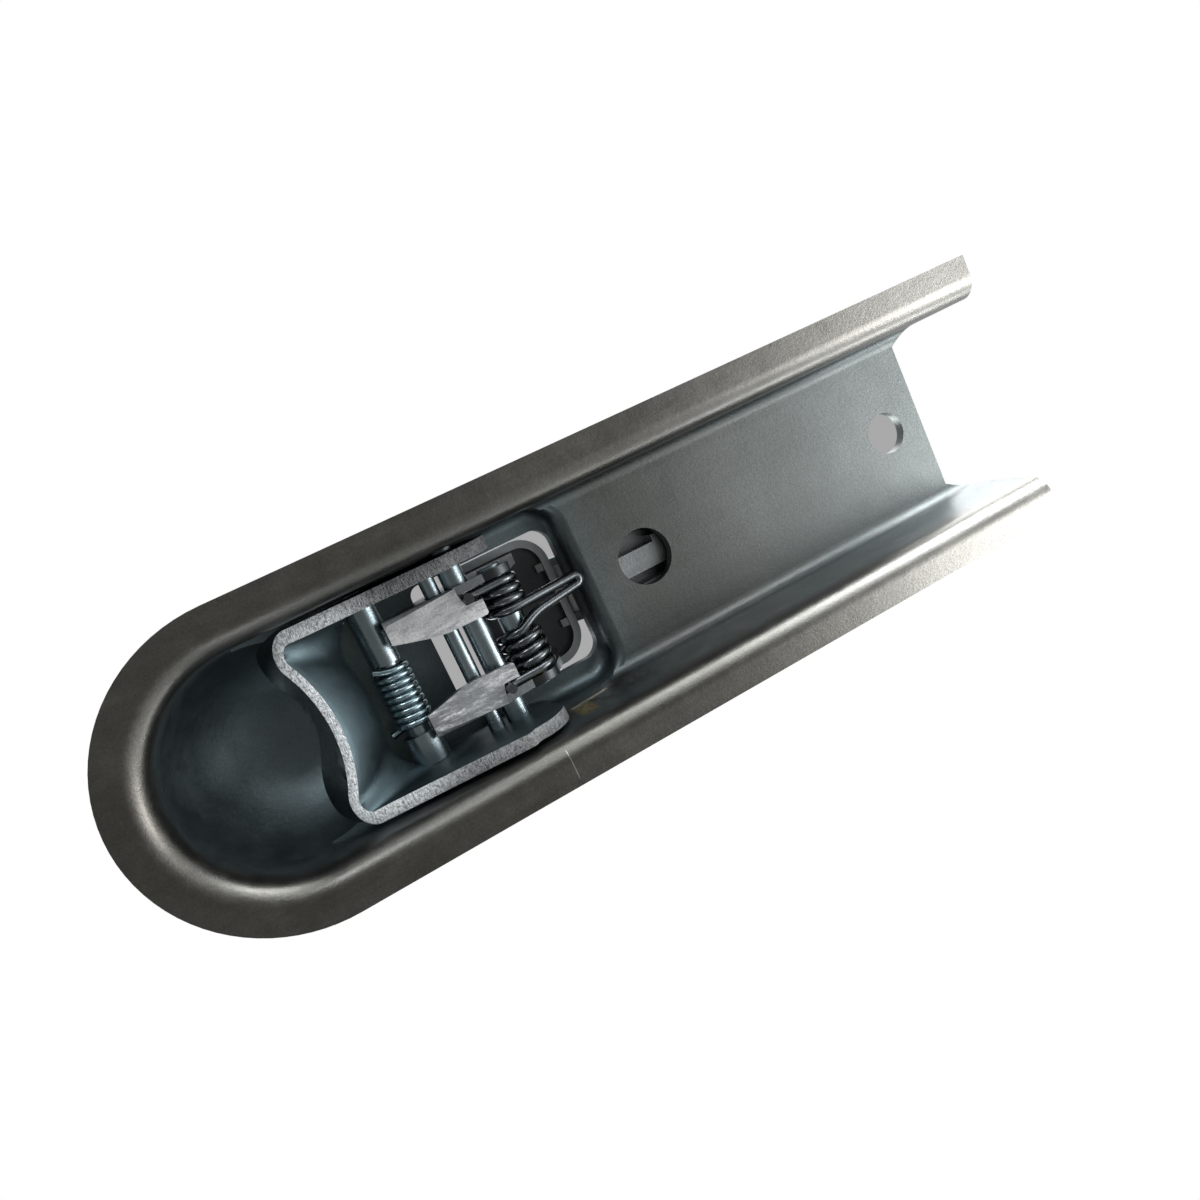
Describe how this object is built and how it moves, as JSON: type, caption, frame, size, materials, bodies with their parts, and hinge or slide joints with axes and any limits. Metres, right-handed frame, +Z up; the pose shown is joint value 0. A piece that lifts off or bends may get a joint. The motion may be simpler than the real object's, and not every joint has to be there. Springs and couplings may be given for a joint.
{
  "type": "trailer coupler",
  "caption": "Straight-tongue trailer coupler: pressed channel with a rounded ball socket, a hinged jaw and a sprung release lever over a slot.",
  "frame": {"origin": "centre of the ball socket", "axes": "+X towards the nose, +Y to the left, +Z up; the open side of the channel faces -Z"},
  "size_m": [0.2645, 0.08, 0.054],
  "materials": {
    "body_zinc": "zinc plated, satin",
    "lever_zinc": "zinc plated, satin",
    "jaw_zinc": "zinc plated, bright cut edges",
    "pin_zinc": "turned and plated",
    "spring_zinc": "plated wire",
    "spring_black": "oiled black wire"
  },
  "bodies": {
    "coupler_body": {"coupler_body": "body_zinc", "hinge_pin": "pin_zinc"},
    "lever": {"lever": "lever_zinc", "lever_strip": "lever_zinc", "spring_arbor": "pin_zinc", "lever_spring": "spring_black"},
    "jaw": {"jaw": "jaw_zinc", "cross_pin": "pin_zinc", "sleeve_left": "pin_zinc", "sleeve_right": "pin_zinc", "jaw_spring": "spring_zinc", "link_rod": "pin_zinc"}
  },
  "joints": [
    {"name": "lever_hinge", "type": "hinge", "parent": "coupler_body", "child": "lever", "pos_m": [-0.0575, 0, 0.013], "axis": [0, 1, 0], "range_deg": [0, 35], "stiffness_Nm_per_rad": 1.2, "springref_deg": -20.05, "deforming": ["lever_spring"]},
    {"name": "jaw_hinge", "type": "hinge", "parent": "coupler_body", "child": "jaw", "pos_m": [-0.0575, 0, 0.013], "axis": [0, 1, 0], "range_deg": [0, 35]}
  ],
  "couplings": [
    {"joint": "jaw_hinge", "follows": "lever_hinge", "ratio": 1}
  ]
}
